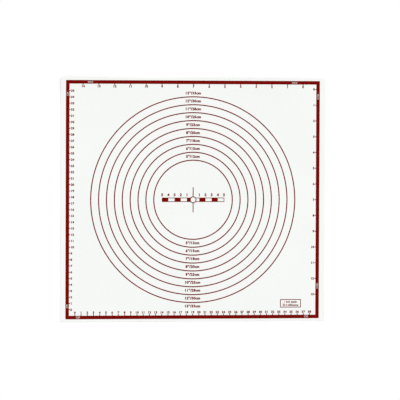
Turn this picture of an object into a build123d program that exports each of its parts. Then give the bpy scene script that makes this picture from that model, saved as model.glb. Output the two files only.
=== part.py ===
from build123d import *
import math
import os

# Silicone baking mat with a pastry guide printed on it. Millimetres, +Z up.
# The origin is the centre of the underside. +X runs to the right along the
# centimetre rule of the near edge, and +Y runs up the printed page.

# One inch and one centimetre, as the rules and the rings print them.
inch_pitch = 25.4
centimetre_pitch = 10.0

# The sheet is a woven glass cloth between two silicone coats, all three cut
# flush from one wide roll.
mat_width = 427.0
mat_depth = 390.0
mat_corner_radius = 2.0
under_coat_thickness = 0.15
cloth_thickness = 0.20
top_coat_thickness = 0.15

# Every printed line is one pass of silicone ink, cured on the top coat.
ink_thickness = 0.04

# A solid band frames the guide. Its insets are from the mat's cut edges.
band_side_inset = 8.3
band_end_inset = 3.8
band_width = 5.7

# The ticks of the four rules stand on the band's inner edge and point inwards.
# They are longer on the near and far rules than on the two side rules.
upright_tick_length = 2.6
flat_tick_length = 1.8
tick_width = 1.3

# From the band's inner corner to the zero tick of each rule, and the room that
# the last tick of a rule leaves at the far corner.
near_rule_start = 9.5
left_rule_start = 9.7
far_rule_start = 21.7
right_rule_start = 7.7
rule_end_room = 9.0

# Rolling-out rings, one for each whole inch of diameter, as many as fit.
smallest_ring_inches = 5
ring_line_width = 1.8
ring_label_room = 8.0
rule_number_room = 6.0

# The centre rule is a bar of checks, one centimetre each and as many as fit in
# the smallest ring, crossed by a post with an open eye at the centre.
check_bar_end_gap = 10.0
check_bar_depth = 7.0
check_bar_line_width = 1.1
centre_post_length = 40.0
centre_post_width = 1.5
centre_eye_diameter = 11.0

# A small open frame for the note on units, set in from the band's inner corner.
note_frame_width = 34.0
note_frame_depth = 13.4
note_frame_side_gap = 23.5
note_frame_near_gap = 11.8
note_frame_line_width = 1.2

sheet_thickness = under_coat_thickness + cloth_thickness + top_coat_thickness
band_outer_width = mat_width - 2 * band_side_inset
band_outer_depth = mat_depth - 2 * band_end_inset
guide_width = band_outer_width - 2 * band_width
guide_depth = band_outer_depth - 2 * band_width
guide_right = guide_width / 2
guide_far = guide_depth / 2


os.makedirs("parts", exist_ok=True)


def save(name, piece):
    export_step(piece, f"parts/{name}.step")


def sheet_layer(underside, thickness):
    outline = RectangleRounded(mat_width, mat_depth, mat_corner_radius)
    return extrude(Pos(0, 0, underside) * outline, amount=thickness)


def printed(artwork):
    return extrude(Pos(0, 0, sheet_thickness) * artwork, amount=ink_thickness)


def frame_outline(width, depth, line_width):
    inside = Rectangle(width - 2 * line_width, depth - 2 * line_width)
    return Rectangle(width, depth) - inside


def tick_places(guide_length, start, pitch):
    """Distances along one side of the guide from the corner the rule starts at."""
    marks = math.floor((guide_length - start - rule_end_room) / pitch)
    return [start + number * pitch for number in range(marks + 1)]


# The cut sheet, from the underside up.
save("under_coat", sheet_layer(0, under_coat_thickness))
save("glass_cloth", sheet_layer(under_coat_thickness, cloth_thickness))
save("top_coat", sheet_layer(under_coat_thickness + cloth_thickness, top_coat_thickness))

# The band round the guide.
save("border_band", printed(frame_outline(band_outer_width, band_outer_depth, band_width)))

# Centimetre rules: the near one reads to the right and the left one reads up.
flat_tick = Rectangle(flat_tick_length, tick_width)
upright_tick = Rectangle(tick_width, upright_tick_length)
near_places = tick_places(guide_width, near_rule_start, centimetre_pitch)
near_tick_y = upright_tick_length / 2 - guide_far
near_ticks = [Pos(place - guide_right, near_tick_y) * upright_tick for place in near_places]
save("cm_rule_near", printed(Sketch() + near_ticks))

left_places = tick_places(guide_depth, left_rule_start, centimetre_pitch)
left_tick_x = flat_tick_length / 2 - guide_right
left_ticks = [Pos(left_tick_x, place - guide_far) * flat_tick for place in left_places]
save("cm_rule_left", printed(Sketch() + left_ticks))

# Inch rules: both start at the far right corner, and read left and down.
far_places = tick_places(guide_width, far_rule_start, inch_pitch)
far_tick_y = guide_far - upright_tick_length / 2
far_ticks = [Pos(guide_right - place, far_tick_y) * upright_tick for place in far_places]
save("inch_rule_far", printed(Sketch() + far_ticks))

right_places = tick_places(guide_depth, right_rule_start, inch_pitch)
right_tick_x = guide_right - flat_tick_length / 2
right_ticks = [Pos(right_tick_x, guide_far - place) * flat_tick for place in right_places]
save("inch_rule_right", printed(Sketch() + right_ticks))

# Concentric rings. The largest leaves room for its label and the rule numbers.
largest_ring_radius = min(guide_right, guide_far) - rule_number_room - ring_label_room
largest_ring_inches = math.floor(2 * largest_ring_radius / inch_pitch)
for diameter_inches in range(smallest_ring_inches, largest_ring_inches + 1):
    radius = diameter_inches * inch_pitch / 2
    ring = Circle(radius + ring_line_width / 2) - Circle(radius - ring_line_width / 2)
    save(f"ring_{diameter_inches:02d}_inch", printed(ring))

# The centre rule: filled and open checks take turns along the bar, as on a map
# scale. The bar and the post stop at the wall of the eye.
bar_reach = smallest_ring_inches * inch_pitch / 2 - ring_line_width / 2 - check_bar_end_gap
checks_each_side = math.floor(bar_reach / centimetre_pitch)
bar_length = 2 * checks_each_side * centimetre_pitch
bar = frame_outline(bar_length + check_bar_line_width, check_bar_depth, check_bar_line_width)
for check in range(0, 2 * checks_each_side, 2):
    check_x = (check - checks_each_side + 1 / 2) * centimetre_pitch
    bar += Pos(check_x, 0) * Rectangle(centimetre_pitch, check_bar_depth)
post = Rectangle(centre_post_width, centre_post_length)
eye = Circle(centre_eye_diameter / 2)
eye_wall = eye - Circle(centre_eye_diameter / 2 - centre_post_width)
save("centre_rule", printed((bar + post) - eye + eye_wall))

# The frame of the note on units.
note_x = guide_right - note_frame_side_gap - note_frame_width / 2
note_y = note_frame_near_gap + note_frame_depth / 2 - guide_far
note_outline = frame_outline(note_frame_width, note_frame_depth, note_frame_line_width)
save("note_frame", printed(Pos(note_x, note_y) * note_outline))
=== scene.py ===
"""A silicone baking mat with a printed pastry guide, lying on a white table.

The mat is put together as the real one is: a silicone under coat, a woven
glass cloth, a silicone top coat, and then the print, line by line.
"""
import math

import bmesh
import bpy
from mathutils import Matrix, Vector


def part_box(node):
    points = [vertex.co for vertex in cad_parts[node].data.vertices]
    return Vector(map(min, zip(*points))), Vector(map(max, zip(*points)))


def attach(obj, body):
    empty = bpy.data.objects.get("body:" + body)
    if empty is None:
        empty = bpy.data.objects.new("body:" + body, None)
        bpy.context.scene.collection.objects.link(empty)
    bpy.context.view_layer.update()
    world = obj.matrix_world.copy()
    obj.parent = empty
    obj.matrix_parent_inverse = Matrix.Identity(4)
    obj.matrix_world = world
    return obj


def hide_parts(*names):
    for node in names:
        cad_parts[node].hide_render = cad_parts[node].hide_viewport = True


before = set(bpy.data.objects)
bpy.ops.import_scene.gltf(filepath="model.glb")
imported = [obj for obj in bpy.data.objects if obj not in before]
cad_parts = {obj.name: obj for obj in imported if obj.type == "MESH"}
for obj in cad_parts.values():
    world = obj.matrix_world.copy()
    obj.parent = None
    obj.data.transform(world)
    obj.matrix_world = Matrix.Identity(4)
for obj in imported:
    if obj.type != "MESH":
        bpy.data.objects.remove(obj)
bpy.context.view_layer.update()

# How the mat lies. A mat that is kept rolled up never goes quite flat again:
# the far edge still curls, most of all at its left corner, and the rest swells
# off the table by a few tenths of a millimetre.
mm = 0.001
mat_low, mat_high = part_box("under_coat")
far_curl = 1.4 * mm
far_curl_reach = 40 * mm
far_curl_wave_length = 290 * mm
far_curl_wave_share = 0.4
corner_curl = 1.2 * mm
corner_curl_reach = 50 * mm
swell = 0.28 * mm
swell_width = 150 * mm
swell_depth = 118 * mm
swell_start = (1, 2)


def curl(distance, reach):
    """The share of an edge's curl at a distance from it: an even bend, as a roll leaves."""
    return max(0.0, 1 - distance / reach) ** 2


def lift(x, y):
    """How far the underside stands off the table."""
    from_left = x - mat_low.x
    from_far = mat_high.y - y
    ripple = math.cos(math.tau * from_left / far_curl_wave_length)
    wave = 1 - far_curl_wave_share * (1 - ripple)
    far_edge = far_curl * wave * curl(from_far, far_curl_reach)
    corner = corner_curl * curl(from_left, corner_curl_reach) * curl(from_far, corner_curl_reach)
    across = math.sin(math.tau * x / swell_width + swell_start[0])
    along = math.sin(math.tau * y / swell_depth + swell_start[1])
    return far_edge + corner + swell * (1 + across * along) / 2


def lay_down(piece):
    """Sets a flat piece on the mat as it lies, keeping the piece's own heights above it."""
    for vertex in piece.data.vertices:
        vertex.co.z += lift(vertex.co.x, vertex.co.y)
    piece.data.update()


# The under coat: platinum-cured silicone rubber, knifed on to the cloth and
# cured in an oven. It is the face that grips the table. Its mesh is in cells
# small enough to follow the curl and the swell, as is that of every wide piece.
cell = 3.5 * mm
cell_slack = 1e-6
corner_radius = 2 * mm
corner_steps = 6
crease_angle = math.radians(30)


def even_steps(start, end, longest):
    """Places from start to end, no further apart than longest."""
    count = math.ceil((end - start) / longest - cell_slack)
    return [start + (end - start) * step / count for step in range(count + 1)]


def cell_sheet(name, columns, rows, height, is_open=None):
    """A flat sheet of cells between the given columns and rows. Open cells are cut out."""
    bpy.ops.object.select_all(action="DESELECT")
    across = len(columns) - 1
    along = len(rows) - 1
    bpy.ops.mesh.primitive_grid_add(x_subdivisions=across, y_subdivisions=along, size=1)
    piece = bpy.context.object
    piece.name = name
    piece.data.name = name
    for vertex in piece.data.vertices:
        column = round((vertex.co.x + 0.5) * across)
        row = round((vertex.co.y + 0.5) * along)
        vertex.co = (columns[column], rows[row], height)
    if is_open:
        bpy.ops.object.mode_set(mode="EDIT")
        bpy.ops.mesh.select_mode(type="FACE")
        mesh = bmesh.from_edit_mesh(piece.data)
        for face in mesh.faces:
            centre = face.calc_center_median()
            face.select_set(is_open(centre.x, centre.y))
        bmesh.update_edit_mesh(piece.data)
        bpy.ops.mesh.delete(type="FACE")
        bpy.ops.object.mode_set(mode="OBJECT")
    return piece


def thicken(piece, thickness):
    """Gives a flat piece its thickness, upwards."""
    bpy.context.view_layer.objects.active = piece
    solid = piece.modifiers.new("thickness", "SOLIDIFY")
    solid.thickness = thickness
    solid.offset = 1
    bpy.ops.object.modifier_apply(modifier=solid.name)


def cut_layer(name, node):
    """One layer of the laminate, cut to the mat's outline with its corners eased."""
    low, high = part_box(node)
    columns = even_steps(low.x, high.x, cell)
    rows = even_steps(low.y, high.y, cell)
    layer = cell_sheet(name, columns, rows, low.z)
    bpy.ops.object.mode_set(mode="EDIT")
    bpy.ops.mesh.select_mode(type="VERT")
    bpy.ops.mesh.select_all(action="DESELECT")
    mesh = bmesh.from_edit_mesh(layer.data)
    for vertex in mesh.verts:
        vertex.select_set(len(vertex.link_faces) == 1)
    bmesh.update_edit_mesh(layer.data)
    bpy.ops.mesh.bevel(offset=corner_radius, segments=corner_steps, affect="VERTICES")
    bpy.ops.object.mode_set(mode="OBJECT")
    thicken(layer, high.z - low.z)
    lay_down(layer)
    bpy.ops.object.shade_smooth_by_angle(angle=crease_angle)
    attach(layer, "root")
    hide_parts(node)
    return layer


def paint(hex_colour):
    """An sRGB hex colour as the linear colour that a shader takes."""
    shares = [int(hex_colour[place:place + 2], 16) / 255 for place in (1, 3, 5)]
    linear = [s / 12.92 if s <= 0.04045 else ((s + 0.055) / 1.055) ** 2.4 for s in shares]
    return (*linear, 1)


def in_use(sockets, name):
    """The socket of that name that the node's settings leave in use, or the one at that number."""
    if isinstance(name, int):
        return sockets[name]
    return next(socket for socket in sockets if socket.enabled and socket.name == name)


def add_node(tree, kind, output, inputs=(), **settings):
    """Adds a node and gives back one of its outputs. An input takes a value or such an output."""
    node = tree.nodes.new(kind)
    for setting, value in settings.items():
        setattr(node, setting, value)
    for name, value in dict(inputs).items():
        socket = in_use(node.inputs, name)
        if isinstance(value, bpy.types.NodeSocket):
            tree.links.new(value, socket)
        else:
            socket.default_value = value
    return node if output is None else in_use(node.outputs, output)


def new_material(name):
    """An empty material, with its tree and the place on the piece in metres."""
    material = bpy.data.materials.new(name)
    material.use_nodes = True
    material.node_tree.nodes.clear()
    place = add_node(material.node_tree, "ShaderNodeTexCoord", "Object")
    return material, material.node_tree, place


def finish_material(tree, inputs):
    """Ends a material in one Principled shader with the given inputs."""
    shader = add_node(tree, "ShaderNodeBsdfPrincipled", "BSDF", inputs)
    add_node(tree, "ShaderNodeOutputMaterial", None, {"Surface": shader})


# Silicone rubber over glass cloth, knife coated: satin and faintly milky, with
# the weave showing through as a fine even relief and a slight tone. The real
# yarns lie 0.6 mm apart, and they are drawn twice as coarse so that they show.
yarn_spacing = 1.2 * mm
weave_share = 0.5
coat_relief = 0.04 * mm
coat_cloud_size = 110 * mm
coat_white = "#FBFDFA"
coat_shade = "#ECEFEB"
wave_texture_length = math.tau / 20


def weave_height(tree, place):
    """A plain weave as a height from 0 to 1: a crown where one yarn passes over another.

    Each run of yarns is a wave from -1 to 1, and the size of their product is the
    height. A wave texture of scale 1 repeats every wave_texture_length.
    """
    scale = wave_texture_length / (2 * yarn_spacing)
    runs = []
    for direction in "XY":
        wave = add_node(tree, "ShaderNodeTexWave", "Fac", {0: place, 1: scale}, bands_direction=direction)
        runs.append(add_node(tree, "ShaderNodeMath", 0, {0: wave, 1: 2, 2: -1}, operation="MULTIPLY_ADD"))
    crossing = add_node(tree, "ShaderNodeMath", 0, {0: runs[0], 1: runs[1]}, operation="MULTIPLY")
    return add_node(tree, "ShaderNodeMath", 0, {0: crossing}, operation="ABSOLUTE")


def silicone_coat():
    material, tree, place = new_material("silicone_coat_satin")
    cloudiness = {"Vector": place, "Scale": 1 / coat_cloud_size, "Detail": 2}
    cloud = add_node(tree, "ShaderNodeTexNoise", "Fac", cloudiness)
    weave = weave_height(tree, place)
    blend = {"Factor": weave_share, "A": cloud, "B": weave}
    depth = add_node(tree, "ShaderNodeMix", "Result", blend, data_type="FLOAT")
    shades = {"Factor": depth, "A": paint(coat_shade), "B": paint(coat_white)}
    colour = add_node(tree, "ShaderNodeMix", "Result", shades, data_type="RGBA")
    relief = {"Height": weave, "Distance": coat_relief, "Strength": 0.6}
    normal = add_node(tree, "ShaderNodeBump", "Normal", relief)
    finish_material(tree, {"Base Color": colour, "Roughness": 0.5, "IOR": 1.41, "Normal": normal})
    return material


coat_finish = silicone_coat()
under_coat = cut_layer("silicone_under_coat", "under_coat")
under_coat.data.materials.append(coat_finish)

# The core: plain-woven E-glass cloth, which keeps the mat from stretching. It
# shows only at the cut edge, as a row of yarn ends between the two coats.
cloth = cut_layer("woven_glass_cloth", "glass_cloth")
cloth_white = "#E4E8E1"
# The second cloth colour is painted shade, laid in the hollows between the yarns.
cloth_hollow_shade = "#C4CAC0"
cloth_relief = 0.06 * mm


def glass_cloth():
    material, tree, place = new_material("woven_e_glass")
    height = weave_height(tree, place)
    # Darker where the weave is low: painted shade in the hollows between the yarns.
    shades = {"Factor": height, "A": paint(cloth_hollow_shade), "B": paint(cloth_white)}
    colour = add_node(tree, "ShaderNodeMix", "Result", shades, data_type="RGBA")
    normal = add_node(tree, "ShaderNodeBump", "Normal", {"Height": height, "Distance": cloth_relief})
    finish_material(tree, {"Base Color": colour, "Roughness": 0.42, "IOR": 1.55, "Normal": normal})
    return material


cloth.data.materials.append(glass_cloth())

# The top coat: the same silicone, on the side that is printed and worked on.
top_coat = cut_layer("silicone_top_coat", "top_coat")
top_coat.data.materials.append(coat_finish)

# The border band: one broad stroke of dark red silicone ink, screen printed
# and cured on the top coat. The unit words are left bare in it.
band_low, band_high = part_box("border_band")
band_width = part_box("cm_rule_near")[0].y - band_low.y
ink_thickness = band_high.z - band_low.z
ink_face = band_low.z
inner_left = band_low.x + band_width
inner_right = band_high.x - band_width
inner_near = band_low.y + band_width
inner_far = band_high.y - band_width
ink_red = "#7E0500"
ink_dark = "#6D0300"
ink_patch_size = 25 * mm
ink_relief = 0.02 * mm
unit_cap_heights = {"INCH": 2.9 * mm, "CM": 3.4 * mm}
unit_stretch = 0.76


def silicone_ink():
    """Silicone ink, screen printed: opaque, low in gloss, and a little uneven as it was laid."""
    material, tree, place = new_material("silicone_ink_dark_red")
    patchiness = {"Vector": place, "Scale": 1 / ink_patch_size, "Detail": 3}
    patches = add_node(tree, "ShaderNodeTexNoise", "Fac", patchiness)
    shades = {"Factor": patches, "A": paint(ink_dark), "B": paint(ink_red)}
    colour = add_node(tree, "ShaderNodeMix", "Result", shades, data_type="RGBA")
    relief = {"Height": weave_height(tree, place), "Distance": ink_relief, "Strength": 0.5}
    normal = add_node(tree, "ShaderNodeBump", "Normal", relief)
    finish_material(tree, {
        "Base Color": colour,
        "Roughness": 0.5,
        "IOR": 1.41,
        "Specular IOR Level": 0.04,
        "Normal": normal,
    })
    return material


ink_finish = silicone_ink()


def print_piece(piece, node=None):
    """Lays a film of ink on the mat, and lets it stand for its node."""
    lay_down(piece)
    piece.data.materials.append(ink_finish)
    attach(piece, "root")
    if node:
        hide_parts(node)


# Lettering: a bold, broad sans serif, made from the built-in face by a bevel round
# its outlines, which is the film's sloping edge. Plain capitals are a fixed share
# of the face's height.
capital_share = 0.682
letter_weight = 0.063
letter_spacing = 1.1
letter_steps = 5
double_distance = 0.0001 * mm


def merge_doubles(piece):
    """Makes one corner of each set of a piece's corners that lie in one place."""
    bpy.ops.object.select_all(action="DESELECT")
    bpy.context.view_layer.objects.active = piece
    bpy.ops.object.mode_set(mode="EDIT")
    bpy.ops.mesh.select_all(action="SELECT")
    bpy.ops.mesh.remove_doubles(threshold=double_distance)
    bpy.ops.mesh.dissolve_degenerate(threshold=double_distance)
    bpy.ops.object.mode_set(mode="OBJECT")


def set_word(text, cap_height, stretch, x, y, align="CENTER", turn=0, weight=letter_weight):
    """One word as closed letters of ink on the ink face, or as flat letters of no weight.

    The given place is at half the height of its capitals.
    """
    bpy.ops.object.select_all(action="DESELECT")
    bpy.ops.object.text_add()
    word = bpy.context.object
    word.data.body = text
    word.data.align_x = align
    word.data.space_character = letter_spacing
    word.data.bevel_depth = weight
    word.data.bevel_resolution = 0
    word.data.resolution_u = letter_steps
    bpy.ops.object.convert(target="MESH")
    bpy.ops.object.shade_flat()
    size = cap_height / (capital_share + 2 * weight)
    word.scale = (size * stretch, size, 1)
    word.rotation_euler.z = turn
    drop = size * capital_share / 2
    word.location = (x + drop * math.sin(turn), y - drop * math.cos(turn), ink_face)
    for vertex in word.data.vertices:
        vertex.co.z = ink_thickness if vertex.co.z > weight / 2 else 0
    bpy.ops.object.transform_apply(location=True, rotation=True, scale=True)
    merge_doubles(word)
    return word


def join_words(name, words):
    """Joins two words or more into one piece."""
    bpy.ops.object.select_all(action="DESELECT")
    for word in words:
        word.select_set(True)
    piece = words[0]
    bpy.context.view_layer.objects.active = piece
    bpy.ops.object.join()
    piece.name = name
    piece.data.name = name
    return piece


def inside_band(x, y):
    return abs(x) < inner_right and abs(y) < inner_far


def combine(piece, other, operation):
    """Cuts the other solid out of a piece, or makes the two one solid."""
    bpy.context.view_layer.objects.active = piece
    boolean = piece.modifiers.new("boolean", "BOOLEAN")
    boolean.operation = operation
    boolean.solver = "EXACT"
    boolean.object = other
    bpy.ops.object.modifier_apply(modifier=boolean.name)
    merge_doubles(piece)


band_columns = [band_low.x, *even_steps(inner_left, inner_right, cell), band_high.x]
band_rows = [band_low.y, *even_steps(inner_near, inner_far, cell), band_high.y]
band = cell_sheet("printed_border_band", band_columns, band_rows, ink_face, inside_band)
thicken(band, ink_thickness)

# The unit words stand in the middle of the band: two on each of its sides, those
# of the left side reading up and those of the right side reading down.
quarter_turn = math.pi / 2
on_far = {"y": band_high.y - band_width / 2}
on_near = {"y": band_low.y + band_width / 2}
on_left = {"x": band_low.x + band_width / 2, "turn": quarter_turn}
on_right = {"x": band_high.x - band_width / 2, "turn": -quarter_turn}
unit_places = [
    ("INCH", {"x": -166 * mm, **on_far}),
    ("INCH", {"x": 164 * mm, **on_far}),
    ("INCH", {"y": 166 * mm, **on_right}),
    ("INCH", {"y": -139 * mm, **on_right}),
    ("CM", {"y": 169 * mm, **on_left}),
    ("CM", {"y": -170.3 * mm, **on_left}),
    ("CM", {"x": -185 * mm, **on_near}),
    ("CM", {"x": 184.5 * mm, **on_near}),
]
unit_words = join_words("unit_words", [
    set_word(word, unit_cap_heights[word], unit_stretch, weight=0, **place)
    for word, place in unit_places
])
word_overrun = ink_thickness
thicken(unit_words, ink_thickness + 2 * word_overrun)
for vertex in unit_words.data.vertices:
    vertex.co.z -= word_overrun
combine(band, unit_words, "DIFFERENCE")
bpy.data.objects.remove(unit_words)
print_piece(band, "border_band")

# The four rules: ticks that stand on the band and point inwards, with a number
# at each. Centimetres read right along the near edge and up the left one, and
# inches read from the far right corner.
tick_width = 1.3 * mm
number_cap_height = 3.85 * mm
number_stretch = 1.07
near_number_gap = 4.9 * mm
far_number_gap = 4.1 * mm
left_number_gap = 2.4 * mm
right_number_gap = 2.5 * mm


def tick_row(name, node, pitch, axis):
    """A rule's ticks: one bar of ink, repeated by an array. It gives back their places."""
    low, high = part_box(node)
    count = round((high[axis] - low[axis] - tick_width) / pitch) + 1
    first_end = low.copy()
    first_end[axis] += tick_width
    first_end[1 - axis] = high[1 - axis]
    ticks = cell_sheet(name, [low.x, first_end.x], [low.y, first_end.y], ink_face)
    thicken(ticks, ink_thickness)
    row = ticks.modifiers.new("row", "ARRAY")
    row.use_relative_offset = False
    row.use_constant_offset = True
    row.constant_offset_displace = [pitch if side == axis else 0 for side in range(3)]
    row.count = count
    bpy.ops.object.modifier_apply(modifier=row.name)
    print_piece(ticks, node)
    return [low[axis] + tick_width / 2 + pitch * place for place in range(count)]


centimetre = 10 * mm
inch = 25.4 * mm
near_places = tick_row("printed_cm_ticks_near", "cm_rule_near", centimetre, 0)
left_places = tick_row("printed_cm_ticks_left", "cm_rule_left", centimetre, 1)
far_places = tick_row("printed_inch_ticks_far", "inch_rule_far", inch, 0)
right_places = tick_row("printed_inch_ticks_right", "inch_rule_right", inch, 1)


def set_number(number, x, y, align="CENTER"):
    return set_word(str(number), number_cap_height, number_stretch, x, y, align)


near_numbers = [
    set_number(number, x, inner_near + near_number_gap)
    for number, x in enumerate(near_places)
]
left_numbers = [
    set_number(number, inner_left + left_number_gap, y, "LEFT")
    for number, y in enumerate(left_places)
]
far_numbers = [
    set_number(number, x, inner_far - far_number_gap)
    for number, x in enumerate(reversed(far_places))
]
right_numbers = [
    set_number(number, inner_right - right_number_gap, y, "RIGHT")
    for number, y in enumerate(reversed(right_places))
]
for name, words in {
    "printed_cm_numbers_near": near_numbers,
    "printed_cm_numbers_left": left_numbers,
    "printed_inch_numbers_far": far_numbers,
    "printed_inch_numbers_right": right_numbers,
}.items():
    print_piece(join_words(name, words))

# The rolling-out rings: fine unbroken lines, one for each inch of diameter,
# with the size in inches and centimetres above the top and below the foot.
smallest_ring = 5 * inch
ring_line = 2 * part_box("ring_05_inch")[1].x - smallest_ring
ring_sides = 360
ring_centimetres = {5: 12, 6: 15, 7: 18, 8: 20, 9: 23, 10: 25, 11: 28, 12: 30, 13: 33}
label_cap_height = 4.6 * mm
label_stretch = 1.05
label_above = 6 * mm
label_below = 5.7 * mm
label_x = -0.6 * mm
labels = []


def line_ring(name, radius, line):
    """A flat ring of the given line width about the centre of the mat: a cone's side, laid flat."""
    bpy.ops.object.select_all(action="DESELECT")
    rims = {"radius1": radius + line / 2, "radius2": radius - line / 2}
    bpy.ops.mesh.primitive_cone_add(vertices=ring_sides, depth=line, end_fill_type="NOTHING", **rims)
    ring = bpy.context.object
    ring.name = name
    ring.data.name = name
    for vertex in ring.data.vertices:
        vertex.co.z = ink_face
    return ring


for inches, centimetres in ring_centimetres.items():
    radius = inches * inch / 2
    ring = line_ring(f"printed_ring_{inches:02d}", radius, ring_line)
    thicken(ring, ink_thickness)
    print_piece(ring, f"ring_{inches:02d}_inch")
    size_text = f"{inches}''/{centimetres}cm"
    for y in (radius + label_above, -radius - label_below):
        labels.append(set_word(size_text, label_cap_height, label_stretch, label_x, y))
print_piece(join_words("printed_ring_labels", labels))

# The centre rule: a checked bar like a map scale, in centimetres each way from
# the middle, with a post and an open eye on the centre of the rings.
rule_low, rule_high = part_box("centre_rule")
check = centimetre
checks_each_side = round(rule_high.x / check)
bar_depth = 7 * mm
bar_line = 1.1 * mm
post_width = 1.5 * mm
eye_radius = 5.5 * mm
eye_overlap = 0.3 * mm
hole_sides = 72
hole_depth = 2 * mm
bar_end = checks_each_side * check
check_starts = [-bar_end + check * place for place in range(2 * checks_each_side)]
bar_columns = [rule_low.x, *check_starts, bar_end - bar_line / 2, rule_high.x]
bar_rows = [-bar_depth / 2, bar_line - bar_depth / 2, bar_depth / 2 - bar_line, bar_depth / 2]


def open_check(x, y):
    """The middle of every second check, up to the line at the bar's end."""
    number = math.floor((x + bar_end) / check)
    return number % 2 == 1 and abs(y) < bar_depth / 2 - bar_line and abs(x) < bar_end - bar_line / 2


bar = cell_sheet("printed_centre_rule", bar_columns, bar_rows, ink_face, open_check)
post = cell_sheet("post", [-post_width / 2, post_width / 2], [rule_low.y, 0, rule_high.y], ink_face)
thicken(bar, ink_thickness)
thicken(post, ink_thickness)
eye = line_ring("eye", eye_radius - post_width / 2, post_width)
thicken(eye, ink_thickness)
bpy.ops.object.select_all(action="DESELECT")
hole_radius = eye_radius - eye_overlap
bpy.ops.mesh.primitive_cylinder_add(vertices=hole_sides, radius=hole_radius, depth=hole_depth)
eye_hole = bpy.context.object
combine(bar, post, "UNION")
combine(bar, eye_hole, "DIFFERENCE")
combine(bar, eye, "UNION")
for used in (post, eye_hole, eye):
    bpy.data.objects.remove(used)
print_piece(bar, "centre_rule")

centre_cap_height = 4.8 * mm
centre_number_gap = 4.4 * mm
centre_number_y = bar_depth / 2 + centre_number_gap
print_piece(join_words("printed_centre_numbers", [
    set_word(str(abs(place)), centre_cap_height, label_stretch, place * check, centre_number_y)
    for place in range(-checks_each_side, checks_each_side + 1)
    if place
]))

# The note frame: a small box near the right-hand corner that says how the two
# units compare.
note_low, note_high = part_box("note_frame")
note_line = 1.2 * mm
note_cap_height = 3.7 * mm
note_stretch = 0.74
note_weight = 0.048
note_leading = 5.2 * mm
note_lines = {"1 inch equals": note_leading / 2, "25.4 millimetres": -note_leading / 2}
note_columns = [note_low.x, note_low.x + note_line]
note_columns += even_steps(note_low.x + note_line, note_high.x - note_line, cell)[1:]
note_columns.append(note_high.x)
note_rows = [note_low.y, note_low.y + note_line, note_high.y - note_line, note_high.y]


def inside_note(x, y):
    across = note_low.x + note_line < x < note_high.x - note_line
    return across and note_low.y + note_line < y < note_high.y - note_line


note_frame = cell_sheet("printed_note_frame", note_columns, note_rows, ink_face, inside_note)
thicken(note_frame, ink_thickness)
print_piece(note_frame, "note_frame")
note_x = (note_low.x + note_high.x) / 2
note_y = (note_low.y + note_high.y) / 2
print_piece(join_words("printed_note_words", [
    set_word(text, note_cap_height, note_stretch, note_x, note_y + rise, weight=note_weight)
    for text, rise in note_lines.items()
]))

# The table: a white studio sweep, far wider than the mat. The camera sees it as
# paper white, and it still takes the mat's soft shadow.
table_size = 8
table_gap = 0.02 * mm
table_seen = "#D8D8D8"
table_bounced = "#DEDEDE"
table_glow = 0.31
bpy.ops.object.select_all(action="DESELECT")
bpy.ops.mesh.primitive_plane_add(size=table_size, location=(0, 0, -table_gap))
table = bpy.context.object
table.name = "table"


def seen_directly(tree):
    """1 for what the camera sees, straight or in gloss or glass, and 0 for light that bounces."""
    seen = add_node(tree, "ShaderNodeLightPath", "Is Camera Ray")
    for name in ("Is Glossy Ray", "Is Transmission Ray"):
        path = add_node(tree, "ShaderNodeLightPath", name)
        seen = add_node(tree, "ShaderNodeMath", 0, {0: seen, 1: path}, operation="MAXIMUM")
    return seen


table_paint = bpy.data.materials.new("table_white")
table_paint.use_nodes = True
tree = table_paint.node_tree
tree.nodes.clear()
shades = {"Factor": seen_directly(tree), "A": paint(table_bounced), "B": paint(table_seen)}
table_colour = add_node(tree, "ShaderNodeMix", "Result", shades, data_type="RGBA")
matt = add_node(tree, "ShaderNodeBsdfDiffuse", "BSDF", {"Color": table_colour})
glow = add_node(tree, "ShaderNodeMath", 0, {0: seen_directly(tree), 1: table_glow}, operation="MULTIPLY")
light = add_node(tree, "ShaderNodeEmission", "Emission", {"Color": (1, 1, 1, 1), "Strength": glow})
table_surface = add_node(tree, "ShaderNodeAddShader", "Shader", {0: matt, 1: light})
add_node(tree, "ShaderNodeOutputMaterial", None, {"Surface": table_surface})
table.data.materials.append(table_paint)

# The light: an even white room, and a broad soft light from high beyond the far
# edge and a little to the right, so that the curl there turns away from it.
room_strength = 0.76
key_share = 0.26
key_height = math.radians(50)
key_side = math.radians(160)
key_spread = math.radians(60)
world = bpy.data.worlds.new("white_room")
bpy.context.scene.world = world
world.use_nodes = True
tree = world.node_tree
tree.nodes.clear()
strengths = {"Factor": seen_directly(tree), "A": room_strength, "B": 1.0}
strength = add_node(tree, "ShaderNodeMix", "Result", strengths, data_type="FLOAT")
room = add_node(tree, "ShaderNodeBackground", "Background", {"Color": (1, 1, 1, 1), "Strength": strength})
add_node(tree, "ShaderNodeOutputWorld", None, {"Surface": room})

bpy.ops.object.light_add(type="SUN")
key = bpy.context.object
key.name = "soft_key"
key.data.angle = key_spread
key.data.energy = key_share * math.pi / math.sin(key_height)
key.rotation_euler = (math.pi / 2 - key_height, 0, key_side)

# The camera: far above the mat, a little beyond its middle and to its left, with
# a long lens that takes in the mat and a white surround.
camera_place = (-0.6955, 0.1662, 5.301)
camera_degrees = (-1.814, -7.587, 0.227)
bpy.ops.object.camera_add(location=camera_place)
camera = bpy.context.object
camera.rotation_euler = [math.radians(angle) for angle in camera_degrees]
camera.data.lens = 300
camera.data.sensor_width = 36
camera.data.clip_end = 50
bpy.context.scene.camera = camera
bpy.context.scene.view_settings.view_transform = "Standard"
